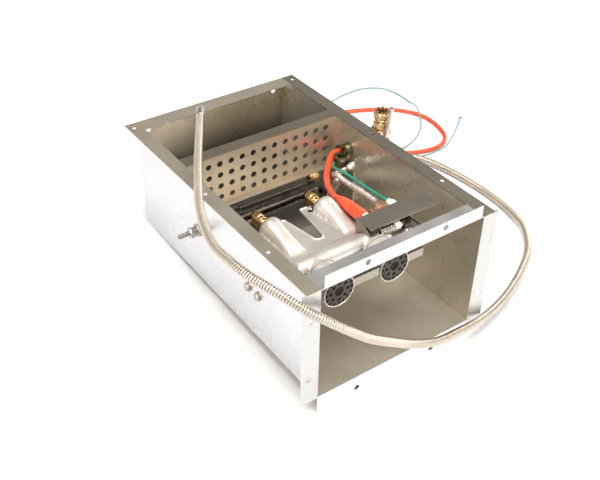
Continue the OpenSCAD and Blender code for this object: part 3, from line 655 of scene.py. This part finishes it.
def spade(tip, way):
    """A flat terminal's blade, level with the bench."""
    side = across_axis(way)[0]
    points = [tip + way * along + side * off + Vector((0, 0, z)) for z in (-0.4, 0.5)
              for off, along in SPADE_OUTLINE]
    count = len(SPADE_OUTLINE)
    walls = [(k, (k + 1) % count, (k + 1) % count + count, k + count) for k in range(count)]
    return points, walls + [tuple(range(count)), tuple(range(count, 2 * count))]


def add_green_wire(paint):
    line = curve_through(laid(WIRE_ROUTE))
    tip, way = end_of(line)
    way.z = 0
    way.normalize()
    terminal = add_piece("wire_spade", joined(turned(tip, way, CRIMP_PROFILE), spade(tip, way)),
                         paint["steel"], "bright_steel", "wire_terminal")
    wire = add_piece("sensor_wire", smooth_tube(line, 1.5, 3.0, 12), paint["pale_green"], "green_insulation",
                     "green_wire")


def add_cords(paint):
    add_hose(paint)
    add_spark_lead(paint)
    add_green_wire(paint)


def rear_of(node):
    return middle(node).x, high(node).y, middle(node).z


def inner_routes():
    """The leads held inside the box. They end at the bracket's rear fittings."""
    wire_end, tube_end = rear_of("flame_rod_insulator"), rear_of("pilot_tube_nut")
    wire = [(135.8, 64, 116), (122, 61, 119), (112, 54, 128), (104, 46, 137), (92, 33, 144), (77, 12, 156),
            (68, -14, 168), (64, -38, 175), (63, -66, 177), (63, -92, 179), (wire_end[0], -116, 181),
            wire_end]
    pilot = [(122, 34, 127), (108, 33, 127), (92, 28, 131), (76, 8, 145), (64, -16, 161), (54, -42, 170),
             (52, -66, 174), (51, -90, 177), (48, -114, 181), tube_end]
    return wire, pilot


def add_inner_leads(paint):
    wire, pilot = inner_routes()
    line = curve_through(INNER_LEAD_ROUTE)
    add_piece("inner_lead", smooth_tube(line, 5.0, 3.0, 24), paint["orange"], "orange_silicone",
              "inner_spark_lead")
    add_piece("inner_wire", smooth_tube(curve_through(wire), 1.9, 3.0, 12), paint["green"],
              "green_insulation", "inner_green_wire")
    # The pilot tube's groove faces get the darker zinc as painted shade
    add_piece("corrugated_pilot_tube", ribbed_tube(curve_through(pilot), 4.5, 3.4, 0.9, 18, 4.0),
              paint["steel"], "bright_steel", "pilot_tube", crease=60, grooves=paint["zinc"])
    start = Vector((25, -74, 163))
    end = Vector((middle("spark_insulator").x, low("spark_boot").y, middle("spark_insulator").z - 3))
    length = (end - start).length
    folds = [(5.2, -6), (6.2, -5), (7.0, 0), (8.0, 8), (8.8, 14), (9.2, 22), (9.4, length - 10),
             (9.0, length - 4), (8.2, length)]
    add_piece("elbow_boot", turned(start, end - start, folds, 40), paint["orange"], "orange_silicone",
              "spark_boot")


# ---- Burners ----


def blended_top(a, b, fillet):
    """The higher of two heights, with a fillet where they meet."""
    meet = max(fillet - abs(a - b), 0) / fillet
    return max(a, b) + meet * meet * fillet / 4


def bulge(radius, off):
    """Height of a round crown, falling below zero outside it."""
    inside = radius * radius - off * off
    return math.sqrt(inside) if inside > 0 else -math.sqrt(-inside)


def signed_distance(x, y, outline):
    """Distance to a polygon, above zero inside it, and the nearest point on it."""
    inside, best, nearest = False, 1e9, None
    for (x0, y0), (x1, y1) in zip(outline, outline[1:] + outline[:1]):
        if (y0 > y) != (y1 > y) and x < (x1 - x0) * (y - y0) / (y1 - y0) + x0:
            inside = not inside
        dx, dy = x1 - x0, y1 - y0
        t = max(0.0, min(1.0, ((x - x0) * dx + (y - y0) * dy) / (dx * dx + dy * dy)))
        px, py = x0 + t * dx, y0 + t * dy
        gap = math.hypot(x - px, y - py)
        if gap < best:
            best, nearest = gap, (px, py)
    return (best if inside else -best), nearest


class Burners:
    """The pair's layout, taken from the frame."""

    def __init__(self):
        left, right = middle("left_flame_barrel"), middle("right_flame_barrel")
        self.axes = (left.x, right.x)
        self.mid = (left.x + right.x) / 2
        self.z = left.z
        self.front = low("left_flame_barrel").y
        self.back = high("left_flame_barrel").y
        self.radius = (high("left_flame_barrel").z - low("left_flame_barrel").z) / 2 - 1
        self.box_front = low("floor_panel").y
        self.half = high("burner_upper_shell").x - self.mid
        self.crown_y = self.box_front + 77.5
        self.mouth = self.box_front + 180.5

    def outline(self):
        """Edge of the flat skirt, as in the plan of the stamping."""
        (a, b), m, f = self.axes, self.mid, self.box_front
        left, right, lobe, mouth = m - self.half, m + self.half, 31.5, self.mouth - self.box_front
        plan = [
            (left, 62), (right, 62), (right, 128), (b + lobe, 176), (b + 19.2, 178), (b + 19.2, mouth),
            (b - 14, mouth), (b - 14, 194), (b - lobe - 1, 194), (m + 6, 126), (m + 3, 122), (m - 4, 122),
            (m - 8, 126), (a + 28, 184), (a + 22, 186), (a + 19.2, mouth), (a - 19.2, mouth),
            (a - 19.2, 178), (a - lobe, 176), (left, 128),
        ]
        return [(x, f + y) for x, y in plan]

    def height(self, x, y, upper):
        """Height of a stamped half over its seam."""
        crown = bulge(16.5, y - self.crown_y)
        ends = self.half - 4 - abs(x - self.mid)
        if ends < 18:
            crown = min(crown, bulge(18, max(0.0, 18 - ends)))
        top = blended_top(0.0, crown, 4.0)
        for axis in self.axes:
            off = abs(x - axis)
            if y < self.crown_y:
                top = blended_top(top, bulge(17, off), 3.0)
            wide, high, power = tube_section(y - self.box_front, upper)
            edge = 1 - (off / wide) ** power
            tube = high * math.sqrt(edge) if edge > 0 else -high * math.sqrt(-edge)
            if y < self.mouth + 0.5:
                top = blended_top(top, tube, 2.5 if upper else 4.0)
        return top


# Half width, height and fullness of the upper half's mixing tube along the box
MIXING_TUBE = [
    (104, 13, 0.1, 3.2), (110, 13, 1.5, 3.2), (118, 13.5, 4.5, 3.2), (128, 14, 7.5, 3.1),
    (140, 14.5, 10.5, 2.9), (152, 15.2, 13.2, 2.7), (162, 16.5, 15.8, 2.4), (170, 18.2, 18.0, 2.1),
    (176, 19.0, 19.0, 2.0), (180.5, 18.5, 18.5, 2.0),
]


def tube_section(at, upper):
    """Half width, height and fullness at a distance from the box's front."""
    if not upper:
        return (18.0, 18.0, 2.0) if at < 165 else (18.8, 18.8, 2.0)
    if at <= MIXING_TUBE[0][0]:
        return (13.0, 0.01, 3.2)
    for a, b in zip(MIXING_TUBE, MIXING_TUBE[1:]):
        if at <= b[0]:
            t = (at - a[0]) / (b[0] - a[0])
            return tuple(p + (q - p) * t for p, q in zip(a[1:], b[1:]))
    return MIXING_TUBE[-1][1:]


STAMPING_SHEET = 1.0
SKIRT_LIP = 1.8
GRID_STEP = 1.2


def stamped_half(burners, upper):
    """One half of the burner pair: a sheet pressed over a grid and trimmed to the skirt's outline."""
    outline = burners.outline()
    sign = 1 if upper else -1
    x0, x1 = min(p[0] for p in outline), max(p[0] for p in outline)
    y0, y1 = min(p[1] for p in outline), max(p[1] for p in outline)
    columns, rows = round((x1 - x0) / GRID_STEP), round((y1 - y0) / GRID_STEP)
    hole = (burners.axes[1] - 20.5, burners.box_front + 184, 4.0)
    index, tops = {}, []
    for i in range(columns + 1):
        for j in range(rows + 1):
            x, y = x0 + (x1 - x0) * i / columns, y0 + (y1 - y0) * j / rows
            inside, nearest = signed_distance(x, y, outline)
            if inside < -GRID_STEP * 0.75:
                continue
            if inside < 0:
                x, y = nearest
            away = math.hypot(x - hole[0], y - hole[1])
            if away < hole[2] - GRID_STEP * 0.75:
                continue
            if away < hole[2]:
                x = hole[0] + (x - hole[0]) * hole[2] / away
                y = hole[1] + (y - hole[1]) * hole[2] / away
            lip = max(0.0, SKIRT_LIP - max(inside, 0)) if upper and y > y0 + 20 else 0.0
            near_tube = any(abs(x - axis) < 19 for axis in burners.axes) and y > burners.mouth - 6
            z = burners.height(x, y, upper) + (0 if near_tube else lip)
            index[i, j] = len(tops)
            tops.append(Vector((x, y, burners.z + sign * (STAMPING_SHEET + z))))
    faces = []
    for i in range(columns):
        for j in range(rows):
            corners = [(i, j), (i + 1, j), (i + 1, j + 1), (i, j + 1)]
            if all(c in index for c in corners):
                faces.append(tuple(index[c] for c in corners))
    return tops, faces


def add_burner_halves(paint, burners):
    for name, upper, node in (("upper_stamping", True, "burner_upper_shell"),
                              ("lower_stamping", False, "burner_lower_shell")):
        half = add_piece(name, stamped_half(burners, upper), paint["aluminised"], "aluminised_steel", node,
                         crease=60)
        solidify = half.modifiers.new("thickness", "SOLIDIFY")
        solidify.thickness = STAMPING_SHEET * MM
        solidify.offset = -1 if upper else 1
    rings = []
    for x in burners.axes:
        lip = [(17.6, -0.8), (18.9, -0.8), (19.6, 0.0), (19.6, 0.9), (18.8, 1.4), (17.6, 1.2)]
        rings.append(turned((x, burners.mouth, burners.z), (0, 1, 0), lip, 64, closed=True))
    add_piece("mouth_rings", joined(*rings), paint["dark"], "dark_steel")


def add_barrels(paint, burners):
    r, front, back = burners.radius, burners.front, burners.back
    for name, x, node in (("left_barrel", burners.axes[0], "left_flame_barrel"),
                          ("right_barrel", burners.axes[1], "right_flame_barrel")):
        depth = back - front
        wall = [
            (r - 1.6, 0.9), (r - 1.2, 0.3), (r - 0.5, 0), (r, 0.3), (r + 0.2, 1.0), (r, 1.8),
            (r - 0.4, 2.6), (r - 0.2, 4), (r, 8), (r, depth - 5), (r - 1.2, depth - 4.8),
            (r - 1.2, depth - 3.8), (r + 1, depth - 3.4), (r + 1, depth - 0.4), (r + 0.6, depth),
            (17, depth), (16, depth), (16, depth - 1.2), (r - 1.6, depth - 1.2),
        ]
        add_piece(name, turned((x, front, burners.z), (0, 1, 0), wall, 72, closed=True), paint["aluminised"],
                  "aluminised_steel", node)


# ---- Fittings ----


def threads(radius, start, end, pitch=1.6, depth=0.5):
    """Profile of a threaded length."""
    count = int((end - start) / pitch)
    profile = []
    for k in range(count):
        profile += [(radius - depth, start + k * pitch), (radius, start + (k + 0.5) * pitch)]
    return profile + [(radius - depth, end)]


def add_union(paint):
    """The brass union on top of the outer elbow, with a castellated nut."""
    place = middle("brass_union_body")
    place.z = low("brass_union_body").z
    top = high("brass_union_nut").z - place.z
    body = [(6.5, 0), (9.6, 0), (10.5, 0.8), (10.5, 2.4)] + hexagon(3.0, 11.0, 23) + threads(9.5, 14.4, 22)
    body += [(6.5, 22)]
    add_piece("union_body", turned(place, (0, 0, 1), body, closed=True), paint["brass"], "brass",
              "brass_union_body")
    base = low("brass_union_nut").z - place.z
    nut = [(9.6, base), (11.4, base), (12.0, base + 0.8), (12.0, base + 3.6), (11.2, base + 4.2)]
    nut += hexagon(base + 4.6, top - base - 9.0, 24, 1.2)
    nut += [(11.2, top - 4.0), (11.0, top - 3.4), (8.0, top - 3.4), (8.0, base + 9), (9.6, base + 8)]
    add_piece("union_nut", turned(place, (0, 0, 1), nut, closed=True), paint["brass"], "brass",
              "brass_union_nut")
    lugs = []
    for k in range(8):
        angle = 2 * math.pi * k / 8
        spot = place + Vector((9.6 * math.cos(angle), 9.6 * math.sin(angle), top - 3.6))
        lugs.append(turned(spot, (0, 0, 1), [(2.0, 0), (2.3, 0.6), (2.3, 2.4), (1.9, 3.2), (0.9, 3.6)], 18))
    add_piece("union_lugs", joined(*lugs), paint["dark_brass"], "brass")


def add_flare(paint):
    """Flared collar where the union seats on the outer elbow."""
    place = middle("brass_union_body")
    place.z = low("brass_union_body").z - 8.6
    flare = [(10.6, 0), (16.3, 0), (17.0, 1.0), (17.0, 5.6), (15.6, 7.6), (12.4, 9.2), (10.6, 9.2)]
    add_piece("union_flare", turned(place, (0, 0, 1), flare, closed=True), paint["copper"], "brass")


def add_orifices(paint, burners):
    """Brass spuds: a hexagon against the manifold, a threaded neck and a nose inside the burner's mouth."""
    tip = low("gas_orifices").y
    root = high("gas_orifices").y
    length = root - tip
    shapes = []
    for x in burners.axes:
        profile = [(1.2, 0), (3.0, 0), (4.2, 1.4), (4.2, 6.4), (5.8, 6.8), (6.4, 7.4)]
        profile += threads(6.5, 7.6, 12.6, 1.3, 0.4) + hexagon(13.0, 6.0, 17.0, 0.8)
        profile += [(7.4, 19.2), (7.4, 20.2)] + hexagon(20.4, 11.2, 17.0, 0.8) + [(4.2, 31.8), (4.2, length)]
        shapes.append(turned((x, tip, burners.z), (0, 1, 0), profile))
    add_piece("orifice_spuds", joined(*shapes), paint["brass"], "brass", "gas_orifices")


BOLT_HEAD = 11


def add_bolts(paint):
    """Hex bolt heads with washers on the outside of both walls, and their nuts inside."""
    places = (low("support_bolts").y + BOLT_HEAD / 2, high("support_bolts").y - BOLT_HEAD / 2)
    wall = high("floor_panel").x + SHEET
    z = middle("support_bolts").z
    corner = BOLT_HEAD / math.sqrt(3)
    heads, nuts = [], []
    for s in (-1, 1):
        for y in places:
            head = [(7.2, 0), (7.4, 0.3), (7.4, 1.0), (6.8, 1.2), (corner * 0.95, 1.3)]
            head += hexagon(1.5, 3.5, BOLT_HEAD, 0.7) + [(4.2, 5.0), (2.0, 4.7)]
            heads.append(turned((s * wall, y, z), (s, 0, 0), head))
            shank = threads(3.0, 0, 12.5, 1.0, 0.35)
            heads.append(turned((s * (wall - 1.3), y, z), (-s, 0, 0), shank, 24))
            nuts.append(turned((s * (wall - 2.9), y, z), (-s, 0, 0), hexagon(0.2, 5.0, 10, 0.7)))
    add_piece("support_bolt_heads", joined(*heads), paint["zinc"], "bright_steel", "support_bolts")
    add_piece("support_bolt_nuts", joined(*nuts), paint["steel"], "bright_steel", "support_nuts")


def add_angle_edge(paint):
    """Folded edge of the angle on the right wall, painted in plated steel paler than the angle's sheet: a
    painted highlight along the edge.
    """
    foot, top = low("wall_angle"), high("wall_angle")
    height = top.z - foot.z
    fold = [(0.7, 0), (1.0, 0.4), (1.0, height - 0.4), (0.7, height)]
    add_piece("angle_edge", turned((foot.x + 0.8, top.y - 1.6, foot.z), (0, 0, 1), fold, 16), paint["steel"],
              "bright_steel")


def add_test_port(paint):
    """Pressure test port: a tube through two hexagons and a washer on the left wall, and a nut inside."""
    centre = middle("test_port_tube")
    wall = low("floor_panel").x - SHEET
    start, end = low("test_port_tube").x, high("test_port_tube").x
    bore = [(2.4, 0), (3.1, 0), (3.5, 0.5), (3.5, end - start), (2.4, end - start)]
    add_piece("port_tube", turned((start, centre.y, centre.z), (1, 0, 0), bore, 32, closed=True),
              paint["zinc"], "bright_steel", "test_port_tube")
    outer = [(3.6, 0)] + hexagon(0, 9, 15, 1.0) + [(6.6, 9.2), (6.6, 12)] + hexagon(12, 8.4, 19, 1.2)
    outer += [(10.8, 20.4), (11.5, 20.7), (11.5, 21.9), (3.6, 21.9)]
    inner = [(3.6, 23.2)] + hexagon(23.3, 6.6, 17, 1.0) + [(3.6, 30)]
    sleeve = [(3.6, 20), (4.9, 20), (4.9, 33), (3.6, 33)]
    base = (wall - 22, centre.y, centre.z)
    body = joined(*(turned(base, (1, 0, 0), profile, closed=True) for profile in (outer, inner, sleeve)))
    add_piece("port_fitting", body, paint["zinc"], "dark_steel", "test_port_nut")


def main():
    add_camera()
    paint = make_materials()
    add_cords(paint)
    add_studio()
    add_inner_leads(paint)
    burners = Burners()
    add_burner_halves(paint, burners)
    add_barrels(paint, burners)
    add_union(paint)
    add_flare(paint)
    add_orifices(paint, burners)
    add_bolts(paint)
    add_test_port(paint)
    add_angle_edge(paint)
    dress_nodes(paint)


NODE_PAINT = {
    "sheet_y": ("left_side_panel", "wall_angle", "manifold_cradle"),
    "right_sheet": ("right_side_panel",),
    "floor": ("floor_panel",),
    "rear": ("back_panel",),
    "shaded": ("burner_support",),
    "tan": ("perforated_partition",),
    "dim": ("igniter_bracket", "carryover_channels"),
    "bright": ("front_crossbar",),
    "disc": ("left_flame_disc", "right_flame_disc"),
    "dark": ("gas_manifold", "manifold_end_cap", "manifold_elbow", "inlet_nipple", "outer_elbow", "flame_rod",
             "pilot_hood"),
    "olive": ("inlet_elbow", "inlet_locknut"),
    "steel": ("partition_rivets", "sheet_screws", "feed_tube", "spark_rod", "pilot_mixer",
              "pilot_supply_tube"),
    "brass": ("hose_coupling",),
    "dark_brass": ("feed_tube_nuts",),
    "copper": ("copper_ferrule", "pilot_tube_nut"),
    "ceramic": ("spark_insulator", "flame_rod_insulator", "pilot_collar", "pilot_wall_union"),
    "black": ("lead_grommet", "wire_grommet"),
}


def dress_nodes(paint):
    for name, nodes in NODE_PAINT.items():
        for node in nodes:
            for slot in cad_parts[node].material_slots:
                slot.material = paint[name]


main()
